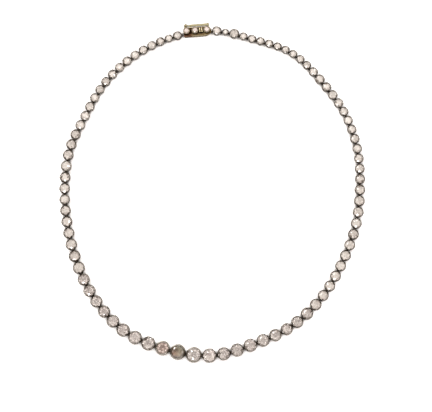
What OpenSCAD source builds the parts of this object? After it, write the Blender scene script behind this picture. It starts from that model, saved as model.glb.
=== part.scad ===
// Riviere necklace: graduated round stones in claw collets, linked in a ring and lying flat.
// The largest stones are at the front (-Y), the box clasp is at the back (+Y).
// +Z is up. The origin is the middle of the necklace's box, on the surface that it lies on.

/* [Chain] */
// Space between neighbouring collets at their nominal diameters
rim_gap = 0.3; // [0.28:0.01:0.35]
// Girdle height of a collet as a share of its diameter, above girdle_base
girdle_share = 0.42; // [0.40:0.01:0.46]
// Part of the girdle height that every collet has
girdle_base = 0.25; // [0.2:0.05:0.4]
// Foot radius of a collet as a share of its rim radius
foot_share = 0.68; // [0.6:0.01:0.7]
// Radius where the steep upper wall turns in towards the foot, as a share of the rim radius
knee_share = 0.96; // [0.94:0.01:0.96]
// Height of that turn as a share of the girdle height
knee_rise = 0.52; // [0.51:0.01:0.54]
// How far a collet's edge flares out past its nominal radius
rim_flare = 0.09; // [0.08:0.01:0.09]
// Width of metal from the stone's girdle to the nominal radius
rim_w = 0.35; // [0.32:0.01:0.4]
// Free space between a stone and its setting
stone_gap = 0.1; // [0.1:0.01:0.12]
// Wire radius of a link ring as a share of the spacing, less link_thin
link_share = 0.03; // [0.029:0.001:0.031]
// Part taken off every wire radius
link_thin = 0.018; // [0.016:0.002:0.02]
// Free space between two interlocked rings
link_gap = 0.105; // [0.105:0.005:0.12]
// How far the middle of a ring's wire lies inside the wall that it is soldered to
link_sink = 0.15; // [0.1:0.05:0.2]

/* [Stones] */
// Table radius as a share of the girdle radius
table_share = 0.53; // [0.45:0.01:0.6]
// Crown height as a share of the girdle radius
crown_share = 0.32; // [0.28:0.01:0.34]
// Pavilion depth as a share of the girdle radius
pavilion_share = 0.82; // [0.78:0.01:0.84]
// Half the girdle's thickness as a share of the girdle radius
girdle_half_share = 0.04; // [0.03:0.01:0.05]
// Culet radius as a share of the girdle radius
culet_share = 0.07; // [0.03:0.01:0.1]

/* [Clasp] */
// Length of the clasp's box
box_l = 8.35; // [8.3:0.05:8.5]
// Width of the box
box_w = 3.75; // [3.7:0.05:3.9]
// Height of the box without its stones
box_h = 1.75; // [1.75:0.05:1.85]
// Thickness of the box's walls
box_wall = 0.3; // [0.25:0.05:0.3]
// Diameter of the collets on the clasp
clasp_collet_d = 2.75; // [2.6:0.05:2.8]
// Slope of the sprung leaf at rest, in degrees
leaf_slope = 3.6; // [3.5:0.1:3.8]
// Distance from the clasp's stones out to the middle of the safety catch
catch_y = 2.5; // [2.45:0.05:2.6]
// Width of the safety catch
catch_w = 1.0; // [0.8:0.05:1.1]

/* [Hidden] */
$fn = 48;

// Stones' line as the necklace lies: angle from +X in degrees, radius in mm
LOOP = [
    [0, 60.5], [15, 62], [30, 63.5], [45, 64.5], [60, 67], [75, 66.5], [90, 68], [105, 67.2],
    [120, 65.6], [135, 63.5], [150, 61], [165, 61], [180, 60.5], [195, 61], [210, 63], [225, 66],
    [240, 68.5], [255, 68.5], [270, 68.5], [285, 66], [300, 65], [315, 63], [330, 61], [345, 60.5]
];
// Collet diameters by unit number, up the right side from the front to the clasp
RIGHT_RUN = [
    [0, 5.25], [2, 5.3], [5, 4.8], [7, 4.95], [9, 4.4], [18, 4.45], [21, 4.05], [26, 3.85],
    [31, 4.05], [33, 3.55], [36, 3.35], [39, 3.5], [40, 3.5], [41, 3.35], [42, 4.15], [43, 2.85], [44, 3.9]
];
// Collet diameters by unit number, down the left side from the clasp to the front
LEFT_RUN = [
    [45, 3.7], [46, 3.35], [47, 3.7], [48, 3.75], [51, 3.9], [55, 3.9], [59, 4.15], [63, 4.5],
    [66, 4.3], [69, 4.55], [72, 4.9], [76, 4.9], [78, 5.3], [81, 5.8], [82, 6.2], [83, 6.2], [84, 5.7]
];
// Units with a full bezel and no claws: unit number, height of the lip above the girdle
BEZELS = [[81, 0.4], [82, 0.45], [83, 0.25]];
// Number of claws from a collet diameter upwards
CLAWS = [[0, 4], [4.2, 6], [4.75, 8]];
unit_count = 85;
last_right = 44;
first_left = 45;
// The front units are nodes of their own, numbered from the left side to the right
front_first = 73;
front_last = 7;
front_count = unit_count - front_first + front_last + 1;
// Angle of the first unit's stone on the loop
start_angle = 273.9;
two_digits = function (i) i < 10 ? str("0", i) : str(i);
front_setting_names = [for (k = [1:front_count]) str("front_setting_", two_digits(k))];
front_stone_names = [for (k = [1:front_count]) str("front_stone_", two_digits(k))];

function turn_x(p, a) = p.x * cos(a) - p.y * sin(a);
function turn_y(p, a) = p.x * sin(a) + p.y * cos(a);
function turned(p, a) = [turn_x(p, a), turn_y(p, a)];
function angle_of(v) = atan2(v.y, v.x);

// The loop: a smooth closed curve through the table, measured along its length
loop_step = 360 / len(LOOP);
function loop_knot(k) = LOOP[(k + len(LOOP)) % len(LOOP)][1];
function smooth(a, b, c, d, t) =
    b + 0.5 * t * (c - a + t * (2 * a - 5 * b + 4 * c - d + t * (3 * (b - c) + d - a)));
function loop_radius(angle) =
    let (turns = (angle % 360 + 360) % 360, k = floor(turns / loop_step), t = turns / loop_step - k)
    smooth(loop_knot(k - 1), loop_knot(k), loop_knot(k + 1), loop_knot(k + 2), t);
function loop_point(angle) = loop_radius(angle) * [cos(angle), sin(angle)];
loop_angles = [for (a = [0:1:360]) start_angle + a];
loop_chords = [for (a = [0:1:359]) norm(loop_point(loop_angles[a + 1]) - loop_point(loop_angles[a]))];
loop_run = [for (a = 0, s = 0; a <= 360; s = s + (a < 360 ? loop_chords[a] : 0), a = a + 1) s];
angle_by_run = [for (a = [0:1:360]) [loop_run[a], loop_angles[a]]];

// The chain's units, spaced by their own diameters
function unit_d(i) = i < first_left ? lookup(i, RIGHT_RUN) : lookup(i, LEFT_RUN);
function unit_pitch(i) = (unit_d(i) + unit_d((i + 1) % unit_count)) / 2 + rim_gap;
// Straight distance over the clasp, between the units that it joins
clasp_span = 16.8;
function unit_run_step(i) = i == last_right ? clasp_span : unit_pitch(i);
unit_run = [for (i = 0, s = 0; i <= unit_count; s = s + unit_run_step(i), i = i + 1) s];
chain_length = unit_run[unit_count];
loop_scale = chain_length / loop_run[360];
loop_units = [
    for (i = [0:unit_count - 1]) loop_scale * loop_point(lookup(unit_run[i] / loop_scale, angle_by_run))
];

// The clasp: a straight body whose stones stand a little outside the line of its neighbours
left_reach = 8.2;
left_drop = 1.5;
right_drop = 0.65;
clasp_chord = loop_units[last_right] - loop_units[first_left];
clasp_turn = angle_of(clasp_chord) - asin((left_drop - right_drop) / norm(clasp_chord));
clasp_centre = loop_units[first_left] + turned([left_reach, left_drop], clasp_turn);
function to_clasp(p) = turned(p - clasp_centre, -clasp_turn);

// Origin in the middle of everything's box
pin_end = 0.3;
catch_outer = catch_y + catch_w / 2 + pin_end;
clasp_corners = [for (x = [-5, 5]) clasp_centre + turned([x, catch_outer], clasp_turn)];
low_x = [for (i = [0:unit_count - 1]) loop_units[i].x - unit_d(i) / 2];
high_x = [for (i = [0:unit_count - 1]) loop_units[i].x + unit_d(i) / 2];
low_y = [for (i = [0:unit_count - 1]) loop_units[i].y - unit_d(i) / 2];
high_y = [for (p = clasp_corners) p.y];
middle = [(min(low_x) + max(high_x)) / 2, (min(low_y) + max(high_y)) / 2];
units = [for (p = loop_units) p - middle];
clasp_at = clasp_centre - middle;

// Sizes of one unit, from its diameter
function girdle_z(d) = girdle_share * d + girdle_base;
function stone_r(d) = d / 2 - rim_w;
function knee_z(d) = knee_rise * girdle_z(d);
function wall_r(d, z) = d / 2 * lookup(z, [[0, foot_share], [knee_z(d), knee_share], [girdle_z(d), 1]]);
function unit_claws(d) = max([for (row = CLAWS) if (d >= row[0]) row[1]]);
function bezel_rows(i) = [for (row = BEZELS) if (row[0] == i) row[1]];
function next_unit(i) = (i + 1) % unit_count;
function last_unit(i) = (i + unit_count - 1) % unit_count;
function toward(i, j) = angle_of(units[j] - units[i]);

// Link rings: a flat one that reaches for the next unit, an upright one for the unit before
function link_r(pitch) = link_share * pitch - link_thin;
function link_z(pitch) = 0.1 * pitch + 0.12;
function link_reach(wall, gap, r) = wall + gap / 2 + r + link_gap / 2;

// A ring of wire soldered into a wall, whose far side is at the reach along +X
module link_ring(wall, reach, r, z, upright) {
    ring_r = (reach - wall + link_sink) / 2;
    translate([reach - ring_r, 0, z]) rotate([upright ? 90 : 0, 0, 0])
        rotate_extrude() translate([ring_r, 0]) circle(r);
}

// Cup that holds a stone: tapered wall, sloped seat under the girdle, lip over its edge
module cup(d, girdle, lip) {
    rim = d / 2;
    foot = foot_share * rim;
    stone = stone_r(d);
    half = girdle_half_share * stone;
    crown_slope = crown_share / (1 - table_share);
    over = min(0.3, lip);
    tip_z = girdle + half + over * crown_slope + stone_gap * 1.2;
    seat_in = 0.25;
    seat_z = girdle - half - stone_gap * 1.3;
    knee = knee_share * rim;
    turn_z = knee_rise * girdle;
    wall = 0.42;
    edge = rim + rim_flare;
    rotate_extrude() polygon([
        [foot, 0], [knee, turn_z], [edge, girdle - 0.05], [edge, girdle + 0.12], [edge - 0.12, tip_z + 0.1],
        [stone - over + 0.1, tip_z + 0.16], [stone - over, tip_z],
        [stone + stone_gap, girdle + half + 0.05], [stone + stone_gap, seat_z + stone_gap * pavilion_share],
        [stone - seat_in, seat_z - seat_in * pavilion_share], [knee - wall - 0.1, turn_z], [foot - wall, 0]
    ]);
}

// Rim cut down between the claws
module claw_cuts(d, girdle, claws) {
    rim = d / 2;
    claw_w = 0.45 + 0.06 * rim;
    notch = (rim * 2 * sin(180 / claws) - claw_w) / 2;
    shoulder = 0.45;
    above = 1.2;
    for (k = [0:claws - 1]) rotate([0, 0, k * 360 / claws])
        translate([rim * 0.7, 0, girdle - 0.03]) rotate([90, 0, 90]) linear_extrude(rim) polygon([
            [-notch / 2, 0], [notch / 2, 0], [notch, shoulder],
            [notch, above], [-notch, above], [-notch, shoulder]
        ]);
}

module collet(d, girdle, claws) {
    difference() {
        cup(d, girdle, 0.3);
        claw_cuts(d, girdle, claws);
    }
}

// One unit of the chain: its collet or bezel with both link rings soldered on
module setting(i) {
    d = unit_d(i);
    lips = bezel_rows(i);
    before = last_unit(i);
    after = next_unit(i);
    facing = toward(i == first_left ? i : before, i == last_right ? i : after);
    translate([units[i].x, units[i].y, 0]) {
        rotate([0, 0, facing]) {
            if (len(lips) > 0) cup(d, girdle_z(d), lips[0]);
            else collet(d, girdle_z(d), unit_claws(d));
        }
        if (i != last_right) chain_ring(i, after, false);
        if (i != first_left) chain_ring(i, before, true);
        if (i == last_right) unit_end_ring(i, tongue_end, false);
        if (i == first_left) unit_end_ring(i, box_end, true);
    }
}

module chain_ring(i, j, upright) {
    spacing = norm(units[j] - units[i]);
    z = link_z(spacing);
    own = wall_r(unit_d(i), z);
    gap = spacing - own - wall_r(unit_d(j), z);
    r = link_r(spacing);
    rotate([0, 0, toward(i, j)]) link_ring(own, link_reach(own, gap, r), r, z, upright);
}

// Ends of the clasp in its own frame: point that the ring aims from, distance to the wall there
box_end = [[-5.45, -0.9], 0];
tongue_end = [[4.3, -0.3], 1.63];
clasp_link_r = 0.105;
clasp_link_z = 0.6;
function end_unit(end) = end == box_end ? first_left : last_right;
function end_vector(end) = to_clasp(loop_units[end_unit(end)]) - end[0];
function end_gap(end) = norm(end_vector(end)) - end[1] - wall_r(unit_d(end_unit(end)), clasp_link_z);

// The ring on the unit beside the clasp
module unit_end_ring(i, end, upright) {
    own = wall_r(unit_d(i), clasp_link_z);
    rotate([0, 0, angle_of(end_vector(end)) + clasp_turn + 180])
        link_ring(own, link_reach(own, end_gap(end), clasp_link_r), clasp_link_r, clasp_link_z, upright);
}

// The ring on the clasp's own end
module clasp_end_ring(end, upright) {
    wall = end[1];
    reach = link_reach(wall, end_gap(end), clasp_link_r);
    translate([end[0].x, end[0].y, 0]) rotate([0, 0, angle_of(end_vector(end))])
        link_ring(wall, reach, clasp_link_r, clasp_link_z, upright);
}

// Brilliant cut: table, stars, kites and upper girdles over lower girdles, mains and a small open culet
module brilliant(r, table, crown) {
    mid = 0.5 * (1 + table) + 0.02;
    low = 0.46;
    half = girdle_half_share;
    crown_top = half + crown;
    mid_z = crown_top - crown * (mid * cos(22.5) - table) / (1 - table);
    bottom = -half - pavilion_share;
    low_z = -half - pavilion_share * (1 - low * cos(22.5)) / (1 - culet_share);
    ring = function (radius, z, count, first) [
        for (k = [0:count - 1]) let (turn = first + k * 360 / count)
            [r * radius * cos(turn), r * radius * sin(turn), r * z]
    ];
    points = concat(
        ring(table, crown_top, 8, 0), ring(mid, mid_z, 8, 22.5), ring(1, half, 16, 0),
        ring(1, -half, 16, 0), ring(low, low_z, 8, 22.5), ring(culet_share, bottom, 8, 0)
    );
    at_table = function (k) k % 8;
    at_mid = function (k) 8 + (k + 8) % 8;
    at_top = function (k) 16 + (k + 16) % 16;
    at_under = function (k) 32 + (k + 16) % 16;
    at_low = function (k) 48 + (k + 8) % 8;
    at_culet = function (k) 56 + k % 8;
    faces = concat(
        [[for (k = [7:-1:0]) at_table(k)]],
        [for (k = [0:7]) [at_table(k), at_table(k + 1), at_mid(k)]],
        [for (k = [0:7]) [at_table(k), at_mid(k), at_top(2 * k), at_mid(k - 1)]],
        [for (k = [0:7]) [at_mid(k), at_top(2 * k + 1), at_top(2 * k)]],
        [for (k = [0:7]) [at_mid(k), at_top(2 * k + 2), at_top(2 * k + 1)]],
        [for (k = [0:15]) [at_top(k), at_top(k + 1), at_under(k + 1), at_under(k)]],
        [for (k = [0:7]) [at_low(k), at_under(2 * k), at_under(2 * k + 1)]],
        [for (k = [0:7]) [at_low(k), at_under(2 * k + 1), at_under(2 * k + 2)]],
        [for (k = [0:7]) [at_culet(k), at_low(k - 1), at_under(2 * k), at_low(k)]],
        [for (k = [0:7]) [at_culet(k), at_low(k), at_culet(k + 1)]],
        [[for (k = [0:7]) at_culet(k)]]
    );
    polyhedron(points, faces);
}

// Single cut for the small stones: table and eight facets over eight more
module single_cut(r) {
    ring = function (radius, z)
        [for (k = [0:7]) [r * radius * cos(22.5 + 45 * k), r * radius * sin(22.5 + 45 * k), r * z]];
    half = girdle_half_share;
    point = [0, 0, -r * (half + pavilion_share)];
    points = concat(ring(table_share, half + crown_share), ring(1, half), ring(1, -half), [point]);
    next = function (k) (k + 1) % 8;
    faces = concat(
        [[for (k = [7:-1:0]) k]],
        [for (k = [0:7]) [k, next(k), 8 + next(k), 8 + k]],
        [for (k = [0:7]) [8 + k, 8 + next(k), 16 + next(k), 16 + k]],
        [for (k = [0:7]) [16 + k, 16 + next(k), 24]]
    );
    polyhedron(points, faces);
}

// Stones turn by a different angle from unit to unit
function stone_turn(i) = (i * 37) % 45;

// The dull grey stone has a wide table and a low crown
flat_stone = 82;
flat_table = 0.66;
flat_crown = 0.2;

module unit_stone(i) {
    d = unit_d(i);
    translate([units[i].x, units[i].y, girdle_z(d)]) rotate([0, 0, stone_turn(i)]) {
        if (i == flat_stone) brilliant(stone_r(d), flat_table, flat_crown);
        else if (i >= front_first || i <= front_last) brilliant(stone_r(d), table_share, crown_share);
        else single_cut(stone_r(d));
    }
}

function front_unit(k) = (front_first + k) % unit_count;

module front_setting(k) { color("rosybrown") setting(front_unit(k)); }
module front_stone(k) { color("mistyrose") unit_stone(front_unit(k)); }
module left_settings() { color("darkkhaki") for (i = [first_left:front_first - 1]) setting(i); }
module left_stones() { color("seashell") for (i = [first_left:front_first - 1]) unit_stone(i); }
module right_settings() { color("darkkhaki") for (i = [front_last + 1:last_right]) setting(i); }
module right_stones() { color("seashell") for (i = [front_last + 1:last_right]) unit_stone(i); }

// Places in the clasp's frame: x along it towards the right side, y outwards, stones on y = 0
clasp_stones_x = [-4.3, -0.65, 4.3];
box_x = -5.45;
box_right = box_x + box_l;
box_y = -2.15;
box_mid_y = box_y + box_w / 2;
clasp_girdle = box_h + 1.0;
collet_sink = 0.1;
cavity_top = box_h - box_wall;
thumb_x = [1.05, 2.5];
thumb_half = 1.0;
notch_clear = 0.13;
lip_z = 1.0;
lip_l = 0.3;
tongue_z = 0.42;
tongue_t = 0.2;
tongue_nose_x = -4.6;
tongue_half = 1.2;
pivot_z = 0.72;
leaf_x = [-4.3, 2.45];
leaf_t = 0.2;
leaf_half = 1.45;
end_gap_x = 0.08;
unit_top_r = 1.9;
unit_foot_r = 1.45;
post_x = -4.45;
post_r = 0.3;
hinge_x = 4.9;
hinge_z = 1.25;
pin_r = 0.22;
barrel_r = 0.5;
bore_r = 0.3;
catch_z = 1.35;
catch_t = 0.4;
// Hole in the box's top under the bow, slot between the two rails of its side
hole_x = [-2.9, -2.05];
hole_y = [-1.2, 0.5];
slot_x = [-4.85, -2.1];
slot_z = [0.6, 1.15];
// Bow between the two collets
bow_at = [-2.5, 0.55];
bow_r = 0.98;
bow_wire_r = 0.17;
bow_up = 0.3;
// Bracket that carries the post
bracket_half = 0.35;
bracket_z = [0.7, 1.05];
post_top = 2.0;
// Flutes down the outside of the tongue unit: place along it, depth below the box's side
FLUTES = [[3.45, 0.05], [4.0, 0], [4.55, 0.03], [5.1, 0.14]];
flute_r = 0.16;
// Collar and head of the catch's pin
pin_start_y = 0.9;
collar_r = 0.42;
pin_play = 0.1;
head_l = 0.2;
// Neck of the safety catch between its bar and its eye
neck_x = [-3, -2.4];
neck_half = 0.3;
eye_r = 0.82;
eye_play = 0.15;

module in_clasp() { translate([clasp_at.x, clasp_at.y, 0]) rotate([0, 0, clasp_turn]) children(); }

// A block from corner to corner
module block(low, high) { translate(low) cube(high - low); }

module clasp_collet(k) {
    translate([clasp_stones_x[k], 0, box_h - collet_sink])
        collet(clasp_collet_d, clasp_girdle - box_h + collet_sink, 4);
}

// Outline of the box with its far corners rounded
module box_outline() {
    corner = 0.5;
    translate([box_x + corner, box_y]) square([box_l - corner, box_w]);
    translate([box_x, box_y + corner]) square([box_l, box_w - 2 * corner]);
    for (y = [box_y + corner, box_y + box_w - corner]) translate([box_x + corner, y]) circle(corner);
}

module clasp_box() {
    inner_y = [box_y + box_wall, box_y + box_w - box_wall];
    far = box_right + 1;
    color("goldenrod") in_clasp() {
        difference() {
            linear_extrude(box_h) box_outline();
            block([box_x + box_wall, inner_y[0], box_wall], [box_right - lip_l, inner_y[1], cavity_top]);
            block([box_x + 1, inner_y[0], box_wall], [far, inner_y[1], lip_z]);
            // Notch that the thumb piece stands in
            block([thumb_x[0] - notch_clear, -thumb_half - notch_clear, lip_z],
                [far, thumb_half + notch_clear, box_h + 1]);
            block([hole_x[0], hole_y[0], cavity_top - 0.1], [hole_x[1], hole_y[1], box_h + 1]);
            block([slot_x[0], box_y - 1, slot_z[0]], [slot_x[1], box_y + 1, slot_z[1]]);
        }
        clasp_collet(0);
        clasp_collet(1);
        translate([bow_at.x, bow_at.y, box_h + bow_up])
            rotate_extrude(angle = 180) translate([bow_r, 0]) circle(bow_wire_r);
        block([post_x - bracket_half, box_y + box_w - 0.15, bracket_z[0]],
            [post_x + bracket_half, catch_y + bracket_half, bracket_z[1]]);
        translate([post_x, catch_y, bracket_z[0] + 0.2]) cylinder(r = post_r, h = post_top - bracket_z[0] - 0.2);
        translate([post_x, catch_y, post_top]) sphere(post_r);
        clasp_end_ring(box_end, false);
    }
}

module clasp_tongue() {
    body_x = box_right + end_gap_x;
    centre = tongue_end[0];
    neck_w = unit_top_r - 0.05;
    nose_r = tongue_t;
    collar_end = catch_y - catch_w / 2 - pin_play;
    color("goldenrod") in_clasp() {
        difference() {
            union() {
                translate([centre.x, centre.y, 0]) cylinder(r1 = unit_foot_r, r2 = unit_top_r, h = box_h);
                block([body_x, box_mid_y - neck_w, 0], [centre.x - 0.3, box_mid_y + neck_w, box_h]);
            }
            block([body_x - 3, box_y - 1, -1], [body_x, box_y + box_w + 1, box_h + 1]);
            for (row = FLUTES) translate([row[0], box_y + row[1], -1]) cylinder(r = flute_r, h = box_h + 2);
        }
        clasp_collet(2);
        // Lower leaf that slides into the box, with a round nose
        block([tongue_nose_x, box_mid_y - tongue_half, tongue_z],
            [body_x + 0.3, box_mid_y + tongue_half, tongue_z + tongue_t]);
        translate([tongue_nose_x, box_mid_y, tongue_z + nose_r]) rotate([90, 0, 0])
            cylinder(r = nose_r, h = 2 * tongue_half, center = true);
        // Pin of the safety catch, with a collar inside and a head outside
        translate([hinge_x, 0, hinge_z]) rotate([-90, 0, 0]) {
            translate([0, 0, pin_start_y]) cylinder(r = pin_r, h = catch_outer - pin_start_y);
            translate([0, 0, pin_start_y]) cylinder(r = collar_r, h = collar_end - pin_start_y);
            translate([0, 0, catch_outer - head_l]) cylinder(r = collar_r, h = head_l);
        }
        clasp_end_ring(tongue_end, true);
    }
}

// Upper leaf of the tongue, folded up from the nose, with the ridged thumb piece on its end
module clasp_spring() {
    ridge_r = 0.3;
    ridges = 2;
    ridge_step = (thumb_x[1] - thumb_x[0] - 2 * ridge_r) / (ridges - 1);
    thumb_top = 2.3;
    thumb_foot = 1.2;
    color("gold") in_clasp() {
        translate([tongue_nose_x, box_mid_y, pivot_z]) rotate([0, -leaf_slope, 0])
            block([leaf_x[0] - tongue_nose_x, -leaf_half, 0], [leaf_x[1] - tongue_nose_x, leaf_half, leaf_t]);
        block([thumb_x[0], -thumb_half, thumb_foot], [thumb_x[1], thumb_half, thumb_top]);
        for (k = [0:ridges - 1]) translate([thumb_x[0] + ridge_r + k * ridge_step, 0, thumb_top])
            rotate([90, 0, 0]) cylinder(r = ridge_r, h = 2 * thumb_half, center = true);
    }
}

module safety_catch() {
    half = catch_w / 2;
    neck_end = post_x + 0.5;
    color("olive") in_clasp() {
        difference() {
            union() {
                translate([0, catch_y, catch_z]) linear_extrude(catch_t) polygon([
                    [neck_end, -neck_half], [neck_x[0], -neck_half], [neck_x[1], -half], [hinge_x, -half],
                    [hinge_x, half], [neck_x[1], half], [neck_x[0], neck_half], [neck_end, neck_half]
                ]);
                translate([post_x, catch_y, catch_z]) cylinder(r = eye_r, h = catch_t);
                translate([hinge_x, catch_y, hinge_z]) rotate([90, 0, 0])
                    cylinder(r = barrel_r, h = catch_w, center = true);
            }
            translate([post_x, catch_y, catch_z - 1]) cylinder(r = post_r + eye_play, h = 3);
            translate([hinge_x, catch_y, hinge_z]) rotate([90, 0, 0])
                cylinder(r = bore_r, h = catch_w + 1, center = true);
        }
    }
}

module clasp_stone(k) {
    color("lavenderblush") in_clasp() translate([clasp_stones_x[k], 0, clasp_girdle])
        rotate([0, 0, 20 * k]) single_cut(stone_r(clasp_collet_d));
}

for (k = [0:front_count - 1]) {
    front_setting(k);
    front_stone(k);
}
left_settings();
left_stones();
right_settings();
right_stones();
clasp_box();
clasp_tongue();
clasp_spring();
safety_catch();
clasp_stone(0);  // clasp_stone_1
clasp_stone(1);  // clasp_stone_2
clasp_stone(2);  // clasp_stone_3
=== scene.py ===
"""Looks of the riviere necklace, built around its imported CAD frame.

Places are in metres. The sizes of one unit are worked out in mm and scaled by MM.
"""

import math

import bmesh
import bpy
import numpy as np
from mathutils import Matrix, Vector

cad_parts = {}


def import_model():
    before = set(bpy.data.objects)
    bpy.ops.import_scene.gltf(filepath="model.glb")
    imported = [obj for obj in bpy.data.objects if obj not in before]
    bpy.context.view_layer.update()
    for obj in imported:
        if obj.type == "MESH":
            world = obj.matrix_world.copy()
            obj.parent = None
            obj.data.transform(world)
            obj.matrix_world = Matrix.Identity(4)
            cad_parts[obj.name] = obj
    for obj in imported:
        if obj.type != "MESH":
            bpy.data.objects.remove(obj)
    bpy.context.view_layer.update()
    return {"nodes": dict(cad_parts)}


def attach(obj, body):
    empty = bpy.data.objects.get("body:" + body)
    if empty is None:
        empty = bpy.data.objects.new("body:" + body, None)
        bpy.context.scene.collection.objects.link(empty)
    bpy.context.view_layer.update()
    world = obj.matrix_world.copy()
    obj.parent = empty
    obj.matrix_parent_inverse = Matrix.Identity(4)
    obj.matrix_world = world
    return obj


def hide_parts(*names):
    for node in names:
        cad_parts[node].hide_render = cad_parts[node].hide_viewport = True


MM = 0.001
ROOT = "necklace"
FRONT_COUNT = 20
# Vertices of the CAD meshes closer than this are one
WELD = 0.002 * MM

# Random draws: each kind has its own stream, and each stone or collet its own number in it
SEED = 2457
CUT_DRAWS = 1
TONE_DRAWS = 2
WEAR_DRAWS = 3
CLASP_STONE_NUMBER = 100
CLASP_COLLET_NUMBER = 200

# Camera: the photograph's viewing angle, worked out from the outline of the ring in it
CAMERA_ELEVATION = 78.0
CAMERA_DISTANCE = 0.5241
CAMERA_LENS = 106.78
CAMERA_TARGET = (0.0015, -0.00778, 0.0025)

# Lights: place, width of the disk and power
LIGHTS = {
    "key": ((-0.35, 0.45, 0.7), 0.45, 3.2),
    "spark_right": ((0.5, 0.1, 0.75), 0.12, 0.9),
    "spark_near": ((-0.15, -0.75, 0.6), 0.3, 1.6),
}

# Stage: half the floor's width, and how far it lies under the necklace
FLOOR_REACH = 2
FLOOR_DROP = 0.01 * MM
# The strip of floor under the bar of the safety catch, with a painted shadow, in mm: its ends and
# its near edge
UNDER_BAR_X = (-12.2, -1.6)
UNDER_BAR_Y = 69.4
# How far from the floor the necklace darkens it with painted shade, and the bar darkens its strip
# with a painted shadow
FLOOR_SHADE_REACH = 1.7 * MM
BAR_SHADE_REACH = 2.0 * MM

# Sizes of one unit in mm, or as shares of its own size, as in part.scad
RIM_W = 0.35
RIM_FLARE = 0.09
STONE_GAP = 0.1
FOOT_SHARE = 0.68
KNEE_SHARE = 0.96
KNEE_RISE = 0.52
WALL = 0.42
GIRDLE_HALF_SHARE = 0.04
PAVILION_SHARE = 0.82
CROWN_SHARE = 0.32
TABLE_SHARE = 0.53
CLAW_WIDTH = 0.45
CLAW_WIDTH_SHARE = 0.06
# Number of claws from a collet diameter upwards
CLAWS = ((0, 4), (4.2, 6), (4.75, 8))
# Units with a full bezel: front number, how far the lip reaches over the stone
BEZELS = {9: 0.3, 10: 0.3, 11: 0.25}

# Link rings in mm: the height and the wire's radius grow with the spacing of the units
LINK_GAP = 0.105
LINK_SINK = 0.15
LINK_Z_SHARE = 0.1
LINK_Z_BASE = 0.12
LINK_WIRE_SHARE = 0.03
LINK_WIRE_CUT = 0.018
CLASP_LINK_R = 0.105
CLASP_LINK_Z = 0.6
RING_COLUMNS = 22
RING_ROWS = 10
# The link rings are dark, with painted shade between the units
RING_WEAR_AND_SHADE = 0.12

# Clasp in mm, as in part.scad: places run along it from its middle, then out from it
BOX_TOP = 1.75
COLLET_SINK = 0.1
FIRST_STONE_X = -4.3
# Where the end rings aim from, and how far the wall is from there
BOX_END = (-5.45, -0.9, 0.0)
TONGUE_END = (4.3, -0.3, 1.63)
# How far the collets on the clasp reach, and the size of their claws
CLASP_COLLET_REACH = 1.6
CLASP_CLAW = 0.6

# The first unit comes after this angle in degrees, where the clasp is
START_ANGLE = 92

# Form of the stones and collets in the scene, in mm where it is a size
TABLE_SIDES = 8
GIRDLE_ARC = 3
STONE_LEAN = 1.2
CLAW_COLUMNS = 14
LEAST_COLUMNS = 60
BEZEL_COLUMNS = 80
ROUND_STEPS = 2
CLAW_REACH = 0.3
CLAW_DOME = 0.07
BEZEL_DOME = 0.02
GROOVE = 0.13
EDGE_WIDTH = 0.05 * MM
EDGE_ANGLE = 35

# How dark the painted shade makes the upper girdle facets, on the front stones and the small ones
FRONT_GIRDLE_SHADE = 0.6
SMALL_GIRDLE_SHADE = 0.28
# Wear and painted shade of the metal: what is left between the claws and where collets meet, and
# what free sides gain
BETWEEN_CLAWS_WEAR = 0.65
MEETING_WEAR_AND_SHADE = 0.3
FRONT_FREE_WEAR = 0.8
SMALL_FREE_WEAR = 0.45
# Dirt and painted shade darken the metal where it is nearer to other metal than this
COLLET_DIRT_AND_SHADE_REACH = 0.45 * MM
GOLD_DIRT_AND_SHADE_REACH = 0.9 * MM
DIAMOND_IOR = 2.4

# Front numbers of the dull grey stone and the pinkish one beside it
GREY_STONE = 10
ROSY_STONE = 9

# Ramps run from 0 to 1: these bring heights to 4 mm and places to 20 mm on the left onto them
HEIGHT_SCALE = 0.25
LEFT_SCALE = 0.05
# Painted light and shade on the clasp's gold by height in mm: dark inside, lit beige side, dark
# top, bright bow
BOX_SHADES = (
    (1.2, (0.6, 0.55, 0.55)),
    (1.3, (1.8, 1.85, 2.3)),
    (1.6, (1.8, 1.85, 2.3)),
    (1.7, (0.45, 0.36, 0.3)),
    (1.8, (0.45, 0.36, 0.3)),
    (2.0, (1.7, 1.6, 1.4)),
)
# The same for the thumb piece: painted shade in the grooves, painted highlights on the ridges
THUMB_SHADES = ((2.34, (0.05, 0.03, 0.02)), (2.5, (1.1, 1.05, 0.95)))
# The box is reddish past these places to the left, and below these heights, in mm
RED_LEFT = (8.6, 9.0)
RED_BELOW = (1.8, 1.88)


def rng(*key):
    """A repeatable random generator for one thing."""
    return np.random.default_rng([SEED, *key])


# Meshes
def mesh_object(name, verts, faces, material, smooth=True):
    mesh = bpy.data.meshes.new(name)
    mesh.from_pydata([tuple(v) for v in verts], [], faces)
    mesh.validate()
    mesh.polygons.foreach_set("use_smooth", [smooth] * len(mesh.polygons))
    mesh.materials.append(material)
    obj = bpy.data.objects.new(name, mesh)
    bpy.context.scene.collection.objects.link(obj)
    return obj


class Soup:
    """Vertices and faces, with a value for each, that become one mesh."""

    def __init__(self):
        self.verts = []
        self.faces = []
        self.point_values = []
        self.face_values = []

    def add(self, verts, faces, point_values, face_values=None):
        first = len(self.verts)
        self.verts.extend(verts)
        self.faces.extend([[first + i for i in face] for face in faces])
        self.point_values.extend(point_values)
        self.face_values.extend(face_values or [0.0] * len(faces))

    def build(self, name, material, smooth=True, point_name=None, face_name=None):
        obj = mesh_object(name, self.verts, self.faces, material, smooth)
        for attribute, domain, values in (
            (point_name, "POINT", self.point_values),
            (face_name, "FACE", self.face_values),
        ):
            if attribute:
                made = obj.data.attributes.new(attribute, "FLOAT", domain)
                made.data.foreach_set("value", np.array(values, np.float32))
        return obj


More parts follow.
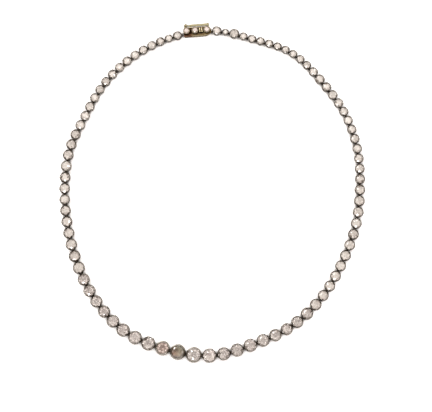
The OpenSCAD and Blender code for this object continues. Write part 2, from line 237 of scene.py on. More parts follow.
def grid_faces(columns, rows):
    """Quads of a grid that closes on itself both ways; a vertex's index is column * rows + row."""
    faces = []
    for c in range(columns):
        n = (c + 1) % columns
        for r in range(rows):
            s = (r + 1) % rows
            faces.append([c * rows + r, n * rows + r, n * rows + s, c * rows + s])
    return faces


# The units, read from the frame's stones
def islands(obj):
    """Places of the vertices of each loose solid in a CAD node."""
    bm = bmesh.new()
    bm.from_mesh(obj.data)
    bmesh.ops.remove_doubles(bm, verts=bm.verts, dist=WELD)
    done = set()
    found = []
    for first in bm.verts:
        if first in done:
            continue
        done.add(first)
        reach = [first]
        group = []
        while reach:
            v = reach.pop()
            group.append(tuple(v.co))
            for e in v.link_edges:
                other = e.other_vert(v)
                if other not in done:
                    done.add(other)
                    reach.append(other)
        found.append(np.array(group))
    bm.free()
    return found


def read_stone(points):
    """Place and cut of one CAD stone, with its unit's collet diameter d in mm."""
    highest = points[:, 2].max()
    top = points[points[:, 2] > highest - 0.01 * MM]
    centre = top[:, :2].mean(0)
    reach = np.hypot(*(points[:, :2] - centre).T)
    r = reach.max()
    girdle = points[reach > 0.99 * r]
    girdle_z = girdle[:, 2].mean()
    # One corner of the table, the same one in whatever order the points come
    spoke = max(top[:, :2] - centre, key=lambda corner: corner[0] + 0.37 * corner[1])
    return {
        "x": centre[0],
        "y": centre[1],
        "z": girdle_z,
        "r": r / MM,
        "d": 2 * (r / MM + RIM_W),
        "turn": math.atan2(spoke[1], spoke[0]),
        "crown": (highest - girdle_z) / r - GIRDLE_HALF_SHARE,
        "table": np.hypot(*spoke) / r,
        "base": 0.0,
        "claw": 1.0,
        "front": 0,
    }


def read_units(nodes):
    """All 85 units in order: from the clasp down the left side, over the front and up the right."""
    units = []
    for k in range(1, FRONT_COUNT + 1):
        unit = read_stone(islands(nodes[f"front_stone_{k:02d}"])[0])
        unit["front"] = k
        units.append(unit)
    for side in ("left", "right"):
        for points in islands(nodes[f"{side}_stones"]):
            unit = read_stone(points)
            unit["side"] = side
            units.append(unit)
    start = math.radians(START_ANGLE)
    units.sort(key=lambda unit: (math.atan2(unit["y"], unit["x"]) - start) % (2 * math.pi))
    return units


def read_clasp(nodes):
    """The clasp's three stones, its direction, and both its ends: point in metres, wall in mm."""
    stones = [read_stone(islands(nodes[f"clasp_stone_{k}"])[0]) for k in (1, 2, 3)]
    for stone in stones:
        stone["base"] = BOX_TOP - COLLET_SINK
        stone["claw"] = CLASP_CLAW
    facing = toward(stones[0], stones[2])

    def place(end):
        along = (end[0] - FIRST_STONE_X) * MM
        out = end[1] * MM
        return (
            stones[0]["x"] + along * math.cos(facing) - out * math.sin(facing),
            stones[0]["y"] + along * math.sin(facing) + out * math.cos(facing),
            end[2],
        )

    return stones, facing, {"box": place(BOX_END), "tongue": place(TONGUE_END)}


def toward(a, b):
    return math.atan2(b["y"] - a["y"], b["x"] - a["x"])


# Cut stones
def cut_stone(unit, variation):
    """An old brilliant: its vertices, faces and for each face a shade that is a painted reflection.

    It has a table, stars, kites, upper and lower girdle facets, mains and an open culet.
    """
    table = unit["table"] + variation.uniform(-0.03, 0.02)
    crown = unit["crown"] * variation.uniform(0.94, 1.0)
    pavilion = PAVILION_SHARE * variation.uniform(0.94, 1.0)
    culet = variation.uniform(0.05, 0.1)
    low = variation.uniform(0.4, 0.52)
    half = GIRDLE_HALF_SHARE
    step = math.pi / TABLE_SIDES
    mid = 0.5 * (1 + table) + 0.02
    top_z = half + crown
    mid_z = top_z - crown * (mid * math.cos(step) - table) / (1 - table)
    low_z = -half - pavilion * (1 - low * math.cos(step)) / (1 - culet)
    bottom_z = -half - pavilion
    verts = []

    def spot(radius, turns, z):
        a = unit["turn"] + turns * step
        return Vector((radius * math.cos(a), radius * math.sin(a), z))

    def put(p):
        verts.append(p)
        return len(verts) - 1

    def corner_ring(radius, shift, z):
        return [put(spot(radius, 2 * k + shift, z)) for k in range(TABLE_SIDES)]

    tables = corner_ring(table, 0, top_z)
    mids = corner_ring(mid, 1, mid_z)
    lows = corner_ring(low, 1, low_z)
    culets = corner_ring(culet, 0, bottom_z)

    def edge_ring(inner, z):
        """A scalloped edge of the girdle: each facet's plane meets the round girdle in an arc."""
        ring = []
        for k in range(2 * TABLE_SIDES):
            apex = verts[inner[k // 2]]
            a = spot(1, k, z)
            b = spot(1, k + 1, z)
            normal = (a - apex).cross(b - apex)
            ring.append(put(a))
            for s in range(1, GIRDLE_ARC):
                p = spot(1, k + s / GIRDLE_ARC, z)
                p.z = apex.z - ((p.x - apex.x) * normal.x + (p.y - apex.y) * normal.y) / normal.z
                ring.append(put(p))
        return ring

    upper = edge_ring(mids, half)
    under = edge_ring(lows, -half)
    count = len(upper)
    faces = [tables]
    for k in range(TABLE_SIDES):
        before = (k - 1) % TABLE_SIDES
        after = (k + 1) % TABLE_SIDES
        corner = 2 * GIRDLE_ARC * k
        faces.append([tables[k], mids[k], tables[after]])
        faces.append([tables[k], mids[before], upper[corner], mids[k]])
        faces.append([culets[k], lows[k], under[corner], lows[before]])
        faces.append([culets[k], culets[after], lows[k]])
    girdle_facets = slice(len(faces), len(faces) + 4 * TABLE_SIDES, 2)
    for k in range(2 * TABLE_SIDES):
        span = [(GIRDLE_ARC * k + s) % count for s in range(GIRDLE_ARC + 1)]
        faces.append([mids[k // 2]] + [upper[s] for s in span])
        faces.append([lows[k // 2]] + [under[s] for s in reversed(span)])
    for s in range(count):
        t = (s + 1) % count
        faces.append([upper[s], under[s], under[t], upper[t]])
    faces.append(list(reversed(culets)))

    def lean(axis):
        return Matrix.Rotation(math.radians(variation.uniform(-STONE_LEAN, STONE_LEAN)), 3, axis)

    tilt = lean("X") @ lean("Y")
    place = Vector((unit["x"], unit["y"], unit["z"]))
    placed = [place + (tilt @ v) * (unit["r"] * MM) for v in verts]
    # Painted reflections: each facet gets a lighter or darker shade at random, the table a lighter
    # one
    shades = variation.uniform(0, 1, len(faces))
    shades[0] = variation.uniform(0.5, 1)
    # Painted shade: the upper girdle facets, next to the claws, are made darker, above all on the
    # small stones
    shades[girdle_facets] *= FRONT_GIRDLE_SHADE if unit["front"] else SMALL_GIRDLE_SHADE
    return placed, faces, list(shades)


def add_stone(soup, unit, number):
    verts, faces, shades = cut_stone(unit, rng(CUT_DRAWS, number))
    tone = rng(TONE_DRAWS, number).uniform()
    soup.add(verts, faces, [tone] * len(verts), shades)


# Collets
def rounded(loop, radii):
    """Rounds the corners of closed outlines; loop has shape (outlines, corners, 2)."""
    out = []
    count = loop.shape[1]
    for k in range(count):
        p = loop[:, k]
        if radii[k] == 0:
            out.append(p)
            continue
        a = loop[:, k - 1] - p
        b = loop[:, (k + 1) % count] - p
        len_a = np.linalg.norm(a, axis=1, keepdims=True) + 1e-9
        len_b = np.linalg.norm(b, axis=1, keepdims=True) + 1e-9
        start = p + a / len_a * np.minimum(radii[k], 0.45 * len_a)
        end = p + b / len_b * np.minimum(radii[k], 0.45 * len_b)
        for s in range(ROUND_STEPS + 1):
            t = s / ROUND_STEPS
            out.append((1 - t) ** 2 * start + 2 * t * (1 - t) * p + t**2 * end)
    return np.stack(out, 1)


def smooth_step(low, high, x):
    t = np.clip((x - low) / (high - low), 0, 1)
    return t * t * (3 - 2 * t)


def claw_count(d):
    return max(n for least, n in CLAWS if d >= least)


def girdle_height(unit):
    """Height of the stone's girdle over the collet's foot, in mm."""
    return unit["z"] / MM - unit["base"]


def wall_r(unit, z):
    """Radius of a collet's outside at a height, in mm."""
    girdle = girdle_height(unit)
    heights = [0, KNEE_RISE * girdle, girdle]
    return unit["d"] / 2 * np.interp(z, heights, [FOOT_SHARE, KNEE_SHARE, 1])


def collet_outlines(unit, angles):
    """Outline of the collet's wall at each angle, as (r, z) in mm.

    Also each corner's wear, with painted shade on the walls and inside, and how much of a claw each
    angle is, 0 to 1.
    """
    rim = unit["d"] / 2
    edge = rim + RIM_FLARE
    foot = FOOT_SHARE * rim
    stone = unit["r"]
    inside = stone + STONE_GAP
    girdle = girdle_height(unit)
    half = GIRDLE_HALF_SHARE * stone
    over = BEZELS.get(unit["front"], CLAW_REACH * unit["claw"])
    tip = girdle + half + over * CROWN_SHARE / (1 - TABLE_SHARE) + 1.2 * STONE_GAP
    seat = girdle - half - 1.3 * STONE_GAP
    base = girdle - 0.03
    ones = np.ones_like(angles)
    if unit["front"] in BEZELS:
        claw = ones
        dome = BEZEL_DOME * ones
    else:
        width = (CLAW_WIDTH + CLAW_WIDTH_SHARE * rim) * unit["claw"]
        cell = 2 * math.pi / claw_count(unit["d"])
        off = np.abs(angles % cell - cell / 2) * rim
        claw = 1 - smooth_step(width * 0.42, width * 0.5 + 0.42 * unit["claw"], off)
        dome = CLAW_DOME * np.sqrt(np.clip(1 - (off / (0.6 * width)) ** 2, 0, 1))
    groove = GROOVE * (1 - claw)

    def mix(low, high):
        """low between the claws, high on them."""
        return low + (high - low) * claw

    def wall(share):
        z = share * (girdle - 0.05)
        flare = RIM_FLARE * np.interp(share, [KNEE_RISE, 1], [0, 1])
        return wall_r(unit, z) + flare - groove * smooth_step(0.3, 0.95, share), z * ones

    # Up the outside, over the rim and down the inside: r, z, rounding, wear with painted shade
    corners = [
        ((foot - 0.4) * ones, 0 * ones, 0.0, 0.1),
        ((foot - 0.02) * ones, 0 * ones, 0.06, 0.25),
        (*wall(0.2), 0.0, 0.2),
        (*wall(KNEE_RISE + 0.01), 0.12, 0.25),
        (*wall(0.66), 0.0, 0.25),
        (*wall(0.78), 0.0, 0.3),
        (*wall(0.9), 0.0, 0.4),
        (edge - groove, mix(base - 0.06, girdle + 0.1), 0.0, 0.6),
        (edge - mix(0.06, 0.12), mix(base, tip + 0.09) + dome * 0.5, 0.1, 1.0),
        (mix(stone + 0.17, stone - over + 0.12), mix(base, tip + 0.15) + dome, 0.08, 1.0),
        (mix(inside + 0.02, stone - over + 0.01), mix(base - 0.02, tip + 0.01), 0.06, 0.7),
        (inside * ones, mix(base - 0.05, girdle + half + 0.05), 0.0, 0.1),
        (inside * ones, (seat + STONE_GAP * PAVILION_SHARE) * ones, 0.0, 0.0),
        ((stone - 0.25) * ones, (seat - 0.25 * PAVILION_SHARE) * ones, 0.0, 0.0),
        ((KNEE_SHARE * rim - WALL - 0.1) * ones, KNEE_RISE * girdle * ones, 0.0, 0.0),
    ]
    loop = np.stack([np.stack([r, z], 1) for r, z, _, _ in corners], 1)
    radii = [rounding for _, _, rounding, _ in corners]
    wear_and_shade = []
    for _, _, rounding, rubbed_and_lit in corners:
        wear_and_shade.extend([rubbed_and_lit] * (ROUND_STEPS + 1 if rounding else 1))
    return rounded(loop, radii), wear_and_shade, claw


def add_collet(soup, unit, facing, number):
    if unit["front"] in BEZELS:
        columns = BEZEL_COLUMNS
    else:
        columns = max(LEAST_COLUMNS, CLAW_COLUMNS * claw_count(unit["d"]))
    angles = np.arange(columns) * 2 * math.pi / columns
    outlines, wear_and_shade, claw = collet_outlines(unit, angles)
    turn = angles + facing
    x = unit["x"] + outlines[:, :, 0] * np.cos(turn)[:, None] * MM
    y = unit["y"] + outlines[:, :, 0] * np.sin(turn)[:, None] * MM
    z = (outlines[:, :, 1] + unit["base"]) * MM
    verts = np.stack([x, y, z], 2).reshape(-1, 3)
    # Wear brightens the rims and claws; painted shade darkens the walls, the insides and the sides
    # between units
    on_claw = BETWEEN_CLAWS_WEAR + (1 - BETWEEN_CLAWS_WEAR) * claw
    rubbed_and_lit = np.tile(np.array(wear_and_shade), (columns, 1)) * on_claw[:, None]
    rubbed_and_lit = rubbed_and_lit * rng(WEAR_DRAWS, number).uniform(0.75, 1.1)
    # Painted shade darkens the metal where the collets meet, and the free sides are rubbed bright
    free_side = FRONT_FREE_WEAR if unit["front"] else SMALL_FREE_WEAR
    rubbed_and_lit = rubbed_and_lit * (MEETING_WEAR_AND_SHADE + free_side * np.sin(angles) ** 2)[:, None]
    faces = [face[::-1] for face in grid_faces(columns, outlines.shape[1])]
    soup.add([tuple(v) for v in verts], faces, list(rubbed_and_lit.reshape(-1)))


# Link rings
def add_ring(soup, unit, facing, own, gap, wire, z, upright):
    """A soldered wire ring that reaches out along facing, past the middle of the gap; in mm."""
    reach = own + gap / 2 + wire + LINK_GAP / 2
    ring = (reach - own + LINK_SINK) / 2
    verts = []
    for c in range(RING_COLUMNS):
        a = 2 * math.pi * c / RING_COLUMNS
        for r in range(RING_ROWS):
            b = 2 * math.pi * r / RING_ROWS
            out = ring + wire * math.cos(b)
            side = out * math.sin(a)
            lift = wire * math.sin(b)
            along = reach - ring + out * math.cos(a)
            across, up = (-lift, side) if upright else (side, lift)
            verts.append((
                unit["x"] + (along * math.cos(facing) - across * math.sin(facing)) * MM,
                unit["y"] + (along * math.sin(facing) + across * math.cos(facing)) * MM,
                (z + up) * MM,
            ))
    soup.add(verts, grid_faces(RING_COLUMNS, RING_ROWS), [RING_WEAR_AND_SHADE] * len(verts))


def add_chain_ring(soup, unit, other, upright):
    spacing = math.hypot(other["x"] - unit["x"], other["y"] - unit["y"]) / MM
    z = LINK_Z_SHARE * spacing + LINK_Z_BASE
    wire = LINK_WIRE_SHARE * spacing - LINK_WIRE_CUT
    own = wall_r(unit, z)
    gap = spacing - own - wall_r(other, z)
    add_ring(soup, unit, toward(unit, other), own, gap, wire, z, upright)


def add_end_ring(soup, unit, end, upright):
    """The ring on the unit beside the clasp; end is the place it faces and the wall's reach."""
    dx = unit["x"] - end[0]
    dy = unit["y"] - end[1]
    own = wall_r(unit, CLASP_LINK_Z)
    gap = math.hypot(dx, dy) / MM - end[2] - own
    facing = math.atan2(dy, dx) + math.pi
    add_ring(soup, unit, facing, own, gap, CLASP_LINK_R, CLASP_LINK_Z, upright)


def add_setting(soup, units, i, ends):
    """One unit's collet or bezel with both link rings."""
    unit = units[i]
    first = i == 0
    last = i == len(units) - 1
    before = unit if first else units[i - 1]
    after = unit if last else units[i + 1]
    add_collet(soup, unit, toward(before, after), i)
    if last:
        add_end_ring(soup, unit, ends["tongue"], False)
    else:
        add_chain_ring(soup, unit, after, False)
    if first:
        add_end_ring(soup, unit, ends["box"], True)
    else:
        add_chain_ring(soup, unit, before, True)


# Nodes of the materials
def new_material(name):
    material = bpy.data.materials.new(name)
    material.use_nodes = True
    tree = material.node_tree
    return material, tree, tree.nodes["Principled BSDF"]


def even(value):
    """A grey, or a plain number as a colour."""
    return (value, value, value)


def scaled(colour, factor):
    return tuple(factor * c for c in colour)


def ramp(tree, source, stops):
    made = tree.nodes.new("ShaderNodeValToRGB")
    elements = made.color_ramp.elements
    while len(elements) < len(stops):
        elements.new(0.5)
    for element, (at, colour) in zip(elements, stops):
        element.position = at
        element.color = (*colour, 1)
    tree.links.new(source, made.inputs["Fac"])
    return made.outputs["Color"]


def axes(tree, kind):
    """X, Y and Z of a texture coordinate."""
    place = tree.nodes.new("ShaderNodeTexCoord")
    split = tree.nodes.new("ShaderNodeSeparateXYZ")
    tree.links.new(place.outputs[kind], split.inputs["Vector"])
    return split.outputs


def noise_value(tree, scale, detail, roughness=0.55, kind="Object"):
    place = tree.nodes.new("ShaderNodeTexCoord")
    made = tree.nodes.new("ShaderNodeTexNoise")
    made.inputs["Scale"].default_value = scale
    made.inputs["Detail"].default_value = detail
    made.inputs["Roughness"].default_value = roughness
    tree.links.new(place.outputs[kind], made.inputs["Vector"])
    return made.outputs["Fac"]


def math_node(tree, operation, a, b):
    made = tree.nodes.new("ShaderNodeMath")
    made.operation = operation
    for socket, value in zip(made.inputs, (a, b)):
        if isinstance(value, (int, float)):
            socket.default_value = value
        else:
            tree.links.new(value, socket)
    return made.outputs[0]


def colour_mix(tree, kind, factor, a, b):
    """A colour mix node; its colours are the seventh and eighth inputs and the third output."""
    made = tree.nodes.new("ShaderNodeMix")
    made.data_type = "RGBA"
    made.blend_type = kind
    for socket, value in ((made.inputs[0], factor), (made.inputs[6], a), (made.inputs[7], b)):
        if isinstance(value, float):
            socket.default_value = value
        elif isinstance(value, tuple):
            socket.default_value = (*value, 1)
        else:
            tree.links.new(value, socket)
    return made.outputs[2]


def tinted(tree, a, b):
    return colour_mix(tree, "MULTIPLY", 1.0, a, b)


def attribute_value(tree, name):
    made = tree.nodes.new("ShaderNodeAttribute")
    made.attribute_name = name
    return made.outputs["Fac"]


def crevice(tree, distance):
    """1 in the open, down to 0 where other surfaces are within the distance."""
    made = tree.nodes.new("ShaderNodeAmbientOcclusion")
    made.samples = 6
    made.inputs["Distance"].default_value = distance
    return made.outputs["AO"]


def old_metal(tree, shader, colour, tint, rough, scale):
    """Colour, edge tint and roughness of an aged metal, with fine scratches and pits."""
    tree.links.new(colour, shader.inputs["Base Color"])
    tree.links.new(rough, shader.inputs["Roughness"])
    shader.inputs["Metallic"].default_value = 1.0
    shader.inputs["Specular Tint"].default_value = (*tint, 1)
    pits = tree.nodes.new("ShaderNodeBump")
    pits.inputs["Strength"].default_value = 0.7
    pits.inputs["Distance"].default_value = 0.03 * MM
    tree.links.new(noise_value(tree, scale, 5, 0.6), pits.inputs["Height"])
    tree.links.new(pits.outputs["Normal"], shader.inputs["Normal"])


# Materials
def collet_metal():
    """Aged silver-topped gold: bright where the claws are rubbed, brown-black with dirt and painted
    shade in the recesses.
    """
    material, tree, shader = new_material("collet_metal")
    mottle = math_node(tree, "MULTIPLY", noise_value(tree, scale=1400, detail=4), 0.5)
    # Dirt and painted shade darken the recesses and the gaps between the units
    open_sky = crevice(tree, COLLET_DIRT_AND_SHADE_REACH)
    bright = math_node(tree, "MULTIPLY", attribute_value(tree, "wear_and_shade"), open_sky)
    bright = math_node(tree, "ADD", bright, mottle)
    bright = math_node(tree, "ADD", bright, 0.2)
    colour = ramp(tree, bright, [
        (0.0, (0.005, 0.002, 0.001)),
        (0.3, (0.016, 0.009, 0.004)),
        (0.65, (0.04, 0.03, 0.021)),
        (0.82, (0.13, 0.118, 0.1)),
        (1.0, (0.36, 0.35, 0.325)),
    ])
    rough = ramp(tree, bright, [(0.0, even(0.6)), (0.8, even(0.26))])
    old_metal(tree, shader, colour, (0.16, 0.12, 0.09), rough, 5200)
    return material


def clasp_gold(name, light, heights=(), reddish=False):
    """Worn yellow gold, brown with dirt and painted shade in the corners.

    heights lists heights in mm with the painted light and shade there. reddish tints the low parts
    at the left end.
    """
    material, tree, shader = new_material(name)
    patches = noise_value(tree, scale=900, detail=5)
    mottle = math_node(tree, "MULTIPLY", patches, 0.5)
    # Dirt and painted shade darken the corners, with a mottle on top
    shade = math_node(tree, "ADD", crevice(tree, GOLD_DIRT_AND_SHADE_REACH), mottle)
    shade = math_node(tree, "SUBTRACT", shade, 0.25)
    colour = ramp(tree, shade, [
        (0.0, (0.008, 0.004, 0.002)),
        (0.4, scaled(light, 0.14)),
        (0.75, scaled(light, 0.42)),
        (1.0, light),
    ])
    # Painted light and shade by height
    if heights:
        place = axes(tree, "Object")
        height = math_node(tree, "MULTIPLY", place["Z"], HEIGHT_SCALE / MM)
        height_light_and_shade = [(HEIGHT_SCALE * z, tint) for z, tint in heights]
        colour = tinted(tree, colour, ramp(tree, height, height_light_and_shade))
        if reddish:
            left = math_node(tree, "MULTIPLY", place["X"], -LEFT_SCALE / MM)
            red = ramp(tree, left, [
                (LEFT_SCALE * RED_LEFT[0], even(1.0)),
                (LEFT_SCALE * RED_LEFT[1], (0.6, 0.42, 0.45)),
            ])
            low = ramp(tree, height, [
                (HEIGHT_SCALE * RED_BELOW[0], even(1.0)),
                (HEIGHT_SCALE * RED_BELOW[1], even(0.0)),
            ])
            colour = colour_mix(tree, "MULTIPLY", low, colour, red)
    rough = ramp(tree, patches, [(0.3, even(0.42)), (0.7, even(0.24))])
    old_metal(tree, shader, colour, (0.42, 0.37, 0.26), rough, 4200)
    return material


def stone_material(
    name, dark, light, clear, rough, cloud=0.0, zones=False, speck=(0.8, 0.78, 0.77)
):
    """Cut stone: clear inside, with painted reflections: each facet lighter or darker than the
    next.

    cloud is how far mist hides the facets. With zones, the colour runs from brown on the left to
    green-grey at the top, with a painted highlight streak. speck is the tint of the painted dark
    specks.
    """
    material, tree, shader = new_material(name)
    # Painted reflections: the facet value makes each facet lighter or darker, and the stone value
    # adds a tone at random
    shade = math_node(tree, "MULTIPLY", attribute_value(tree, "facet"), 0.75)
    tone = math_node(tree, "MULTIPLY", attribute_value(tree, "stone"), 0.25)
    shade = math_node(tree, "ADD", shade, tone)
    stops = (0.08, 0.18, 0.3)
    if cloud:
        stops = (0.15, 0.4, 0.7)
        mist = noise_value(tree, scale=700, detail=4)
        mist = ramp(tree, mist, [(0.36, even(0.0)), (0.64, even(1.0))])
        mist = math_node(tree, "MULTIPLY", mist, cloud)
        shade = math_node(tree, "ADD", math_node(tree, "MULTIPLY", shade, 1 - cloud), mist)
    middle = tuple(0.5 * (d + l) for d, l in zip(dark, light))
    highest = tuple(min(1.0, 1.06 * l) for l in light)
    colours = [(stops[0], dark), (stops[1], middle), (stops[2], light), (1.0, highest)]
    colour = ramp(tree, shade, colours)
    if zones:
        # Painted highlight: a light streak low across the stone and a lighter middle, on a colour
        # that runs from brown on the left to green-grey at the top
        place = axes(tree, "Generated")
        colour = tinted(tree, colour, ramp(tree, place["Y"], [
            (0.05, (0.55, 0.5, 0.6)),
            (0.28, (1.5, 1.5, 1.5)),
            (0.45, (1.2, 1.15, 1.1)),
            (0.75, (0.75, 0.8, 0.7)),
            (0.95, (0.6, 0.68, 0.6)),
        ]))
        colour = tinted(tree, colour, ramp(tree, place["X"], [
            (0.1, (0.95, 0.62, 0.52)),
            (0.4, (1.1, 0.98, 0.9)),
            (0.6, (1.2, 1.2, 1.15)),
            (0.95, (0.7, 0.72, 0.68)),
        ]))
    # Painted glints and dark specks, in place of the light the small facets under the table throw
    # up
    specks = noise_value(tree, scale=2400, detail=2)
    specks = ramp(tree, specks, [(0.42, speck), (0.58, (1.12, 1.11, 1.1))])
    tree.links.new(tinted(tree, colour, specks), shader.inputs["Base Color"])
    shader.inputs["Roughness"].default_value = rough
    shader.inputs["IOR"].default_value = DIAMOND_IOR
    shader.inputs["Transmission Weight"].default_value = clear
    return material


def clasp_golds():
    """The clasp's gold, by piece."""
    return {
        "box": clasp_gold("box_gold", (0.36, 0.32, 0.2), BOX_SHADES, reddish=True),
        "tongue": clasp_gold("tongue_gold", (0.5, 0.46, 0.28), BOX_SHADES),
        "leaf": clasp_gold("leaf_gold", (0.62, 0.56, 0.4), THUMB_SHADES),
        "guard": clasp_gold("guard_gold", (0.34, 0.31, 0.19)),
        "collet": clasp_gold("clasp_collet_gold", (0.42, 0.35, 0.24)),
    }


def stone_materials():
    """Materials of the stones, by where they are or by front number."""
    return {
        "front": stone_material(
            "diamond", (0.16, 0.13, 0.115), (1.0, 0.935, 0.9), 0.66, 0.03, speck=(0.74, 0.71, 0.73)
        ),
        GREY_STONE: stone_material(
            "grey_diamond", (0.09, 0.07, 0.06), (0.27, 0.24, 0.2), 0.3, 0.2, cloud=0.6, zones=True
        ),
        ROSY_STONE: stone_material(
            "rosy_diamond", (0.1, 0.06, 0.05), (0.8, 0.66, 0.61), 0.75, 0.02
        ),
        "string": stone_material(
            "small_diamond", (0.22, 0.18, 0.155), (0.98, 0.935, 0.9), 0.48, 0.04
        ),
        "clasp": stone_material(
            "pale_diamond", (0.5, 0.4, 0.37), (0.86, 0.77, 0.74), 0.2, 0.08
        ),
    }


# Stage, light and camera
def build_stage():
    material, tree, shader = new_material("floor_paper")
    open_sky = crevice(tree, FLOOR_SHADE_REACH)
    # Painted shade: the floor turns dark brown where the necklace is close over it, and its glow
    # fades there
    paper = ramp(tree, open_sky, [
        (0.32, (0.03, 0.015, 0.008)),
        (0.46, (0.3, 0.22, 0.17)),
        (0.56, even(0.95)),
    ])
    glow = ramp(tree, open_sky, [(0.42, even(0.0)), (0.56, even(1.0))])
    # Painted shadow on the strip of floor under the bar of the safety catch
    place = axes(tree, "Object")
    under_bar = math_node(tree, "GREATER_THAN", place["Y"], UNDER_BAR_Y * MM)
    for comparison, end in zip(("GREATER_THAN", "LESS_THAN"), UNDER_BAR_X):
        inside = math_node(tree, comparison, place["X"], end * MM)
        under_bar = math_node(tree, "MULTIPLY", under_bar, inside)
    bar_shadow = crevice(tree, BAR_SHADE_REACH)
    bar_shadow = ramp(tree, bar_shadow, [(0.3, (0.08, 0.05, 0.02)), (0.56, even(1.0))])
    shade = colour_mix(tree, "MIX", under_bar, even(1.0), bar_shadow)
    tree.links.new(tinted(tree, paper, shade), shader.inputs["Base Color"])
    shader.inputs["Roughness"].default_value = 0.9
    tree.links.new(tinted(tree, glow, shade), shader.inputs["Emission Color"])
    shader.inputs["Emission Strength"].default_value = 0.55
    reach = FLOOR_REACH
    corners = [(-reach, -reach, 0), (reach, -reach, 0), (reach, reach, 0), (-reach, reach, 0)]
    floor = mesh_object("floor", corners, [[0, 1, 2, 3]], material, smooth=False)
    floor.location.z = -FLOOR_DROP


def camera_direction():
    elevation = math.radians(CAMERA_ELEVATION)
    return Vector((0, -math.cos(elevation), math.sin(elevation)))


def build_world():
    """Soft studio: bright round a dark place above the necklace, where the photographer stands.

    It is dimmer low down on the near side, and its clouds give the facets something to reflect.
    """
    world = bpy.data.worlds.new("studio")
    bpy.context.scene.world = world
    world.use_nodes = True
    tree = world.node_tree
    back = tree.nodes["Background"]
    place = tree.nodes.new("ShaderNodeTexCoord")
    along = tree.nodes.new("ShaderNodeVectorMath")
    along.operation = "DOT_PRODUCT"
    along.inputs[1].default_value = camera_direction()
    tree.links.new(place.outputs["Generated"], along.inputs[0])
    far_side = math_node(tree, "MULTIPLY", axes(tree, "Generated")["Y"], 0.22)
    height = math_node(tree, "ADD", along.outputs["Value"], far_side)
    colour = ramp(tree, height, [
        (0.0, (0.1, 0.08, 0.07)),
        (0.3, (0.4, 0.36, 0.33)),
        (0.6, (1.0, 0.95, 0.9)),
        (0.93, (1.0, 0.97, 0.94)),
        (0.975, (0.12, 0.1, 0.09)),
    ])
    clouds = noise_value(tree, scale=12, detail=2, roughness=0.5, kind="Generated")
    patches = ramp(tree, clouds, [
        (0.44, (0.1, 0.08, 0.07)),
        (0.5, (0.7, 0.65, 0.62)),
        (0.56, (1.2, 1.15, 1.1)),
    ])
    tree.links.new(tinted(tree, colour, patches), back.inputs["Color"])
    back.inputs["Strength"].default_value = 1.7


def build_lights():
    for name, (place, size, power) in LIGHTS.items():
        data = bpy.data.lights.new(name, "AREA")
        data.shape = "DISK"
        data.size = size
        data.energy = power
        light = bpy.data.objects.new(name, data)
        light.location = place
        light.rotation_euler = (-Vector(place)).to_track_quat("-Z", "Y").to_euler()
        bpy.context.scene.collection.objects.link(light)


def build_camera():
    target = Vector(CAMERA_TARGET)
    data = bpy.data.cameras.new("camera")
    data.lens = CAMERA_LENS
    data.sensor_width = 36
    data.clip_start = 0.01
    camera = bpy.data.objects.new("camera", data)
    camera.location = target + CAMERA_DISTANCE * camera_direction()
    camera.rotation_euler = (target - camera.location).to_track_quat("-Z", "Y").to_euler()
    bpy.context.scene.collection.objects.link(camera)
    bpy.context.scene.camera = camera


# Pieces
def dress(piece, node_name, body=ROOT):
    """Puts a piece in the place of a CAD node."""
    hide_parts(node_name)
    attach(piece, body)


def dress_settings(soup, name, node_name, metal):
    dress(soup.build(name, metal, point_name="wear_and_shade"), node_name)


def dress_stones(soup, name, node_name, material):
    piece = soup.build(name, material, smooth=False, point_name="stone", face_name="facet")
    dress(piece, node_name)


def build_chain(nodes, ends, materials):
    metal = collet_metal()
    units = read_units(nodes)
    strings = {side: (Soup(), Soup()) for side in ("left", "right")}
    for i, unit in enumerate(units):
        k = unit["front"]
        settings, stones = (Soup(), Soup()) if k else strings[unit["side"]]
        add_setting(settings, units, i, ends)
        add_stone(stones, unit, i)
        if k:
            material = materials.get(k, materials["front"])
            dress_settings(settings, f"setting_{k:02d}", f"front_setting_{k:02d}", metal)
            dress_stones(stones, f"stone_{k:02d}", f"front_stone_{k:02d}", material)
    for side, (settings, stones) in strings.items():
        dress_settings(settings, f"string_{side}_settings", f"{side}_settings", metal)
        dress_stones(stones, f"string_{side}_stones", f"{side}_stones", materials["string"])


def without_collets(bm, stones):
    """Takes the faces of the stones' collets out of a CAD node."""
    reach = CLASP_COLLET_REACH * MM
    faces = []
    for face in bm.faces:
        at = face.calc_center_median()
        near = any(math.hypot(at.x - stone["x"], at.y - stone["y"]) < reach for stone in stones)
        if near and at.z > (BOX_TOP + 0.02) * MM:
            faces.append(face)
    bmesh.ops.delete(bm, geom=faces, context="FACES")


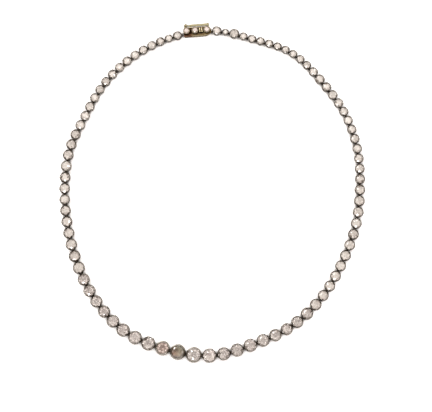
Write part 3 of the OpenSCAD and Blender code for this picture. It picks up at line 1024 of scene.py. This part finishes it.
def bevelled_copy(name, source, material, stones):
    """The CAD node's own form, without the stones' collets and with its edges rounded."""
    mesh = source.data.copy()
    obj = bpy.data.objects.new(name, mesh)
    bpy.context.scene.collection.objects.link(obj)
    bm = bmesh.new()
    bm.from_mesh(mesh)
    bmesh.ops.remove_doubles(bm, verts=bm.verts, dist=WELD)
    without_collets(bm, stones)
    bmesh.ops.dissolve_limit(
        bm,
        angle_limit=math.radians(1),
        use_dissolve_boundaries=False,
        verts=bm.verts,
        edges=bm.edges,
        delimit=set(),
    )
    bm.to_mesh(mesh)
    bm.free()
    mesh.materials.clear()
    mesh.materials.append(material)
    mesh.polygons.foreach_set("use_smooth", [True] * len(mesh.polygons))
    edge = obj.modifiers.new("edges", "BEVEL")
    edge.width = EDGE_WIDTH
    edge.segments = 2
    edge.limit_method = "ANGLE"
    edge.angle_limit = math.radians(EDGE_ANGLE)
    edge.use_clamp_overlap = True
    shade = obj.modifiers.new("shade", "WEIGHTED_NORMAL")
    shade.keep_sharp = True
    evaluated = obj.evaluated_get(bpy.context.evaluated_depsgraph_get())
    applied = bpy.data.meshes.new_from_object(evaluated)
    obj.modifiers.clear()
    obj.data = applied
    return obj


def join_mesh(obj, other):
    """Moves another object's faces into this one, with their materials."""
    first = len(obj.data.materials)
    for material in other.data.materials:
        obj.data.materials.append(material)
    for face in other.data.polygons:
        face.material_index += first
    bm = bmesh.new()
    bm.from_mesh(obj.data)
    bm.from_mesh(other.data)
    bm.to_mesh(obj.data)
    bm.free()
    bpy.data.objects.remove(other)


def build_clasp(nodes, stones, facing, stone_finish):
    golds = clasp_golds()
    for k, stone in enumerate(stones, 1):
        gem = Soup()
        add_stone(gem, stone, CLASP_STONE_NUMBER + k)
        dress_stones(gem, f"clasp_gem_{k}", f"clasp_stone_{k}", stone_finish)
    for name, node_name, body, held in (
        ("box", "clasp_box", ROOT, stones[:2]),
        ("tongue", "clasp_tongue", ROOT, stones[2:]),
        ("leaf", "clasp_spring", "thumb_leaf", []),
        ("guard", "safety_catch", "catch", []),
    ):
        piece = bevelled_copy(name, nodes[node_name], golds[name], held)
        for stone in held:
            collet = Soup()
            add_collet(collet, stone, facing, CLASP_COLLET_NUMBER)
            join_mesh(piece, collet.build("collet", golds["collet"]))
        dress(piece, node_name, body)


def main():
    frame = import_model()
    bpy.context.scene.view_settings.view_transform = "Standard"
    build_camera()
    build_stage()
    build_world()
    build_lights()
    nodes = frame["nodes"]
    materials = stone_materials()
    clasp_stones, clasp_facing, ends = read_clasp(nodes)
    build_chain(nodes, ends, materials)
    build_clasp(nodes, clasp_stones, clasp_facing, materials["clasp"])


main()
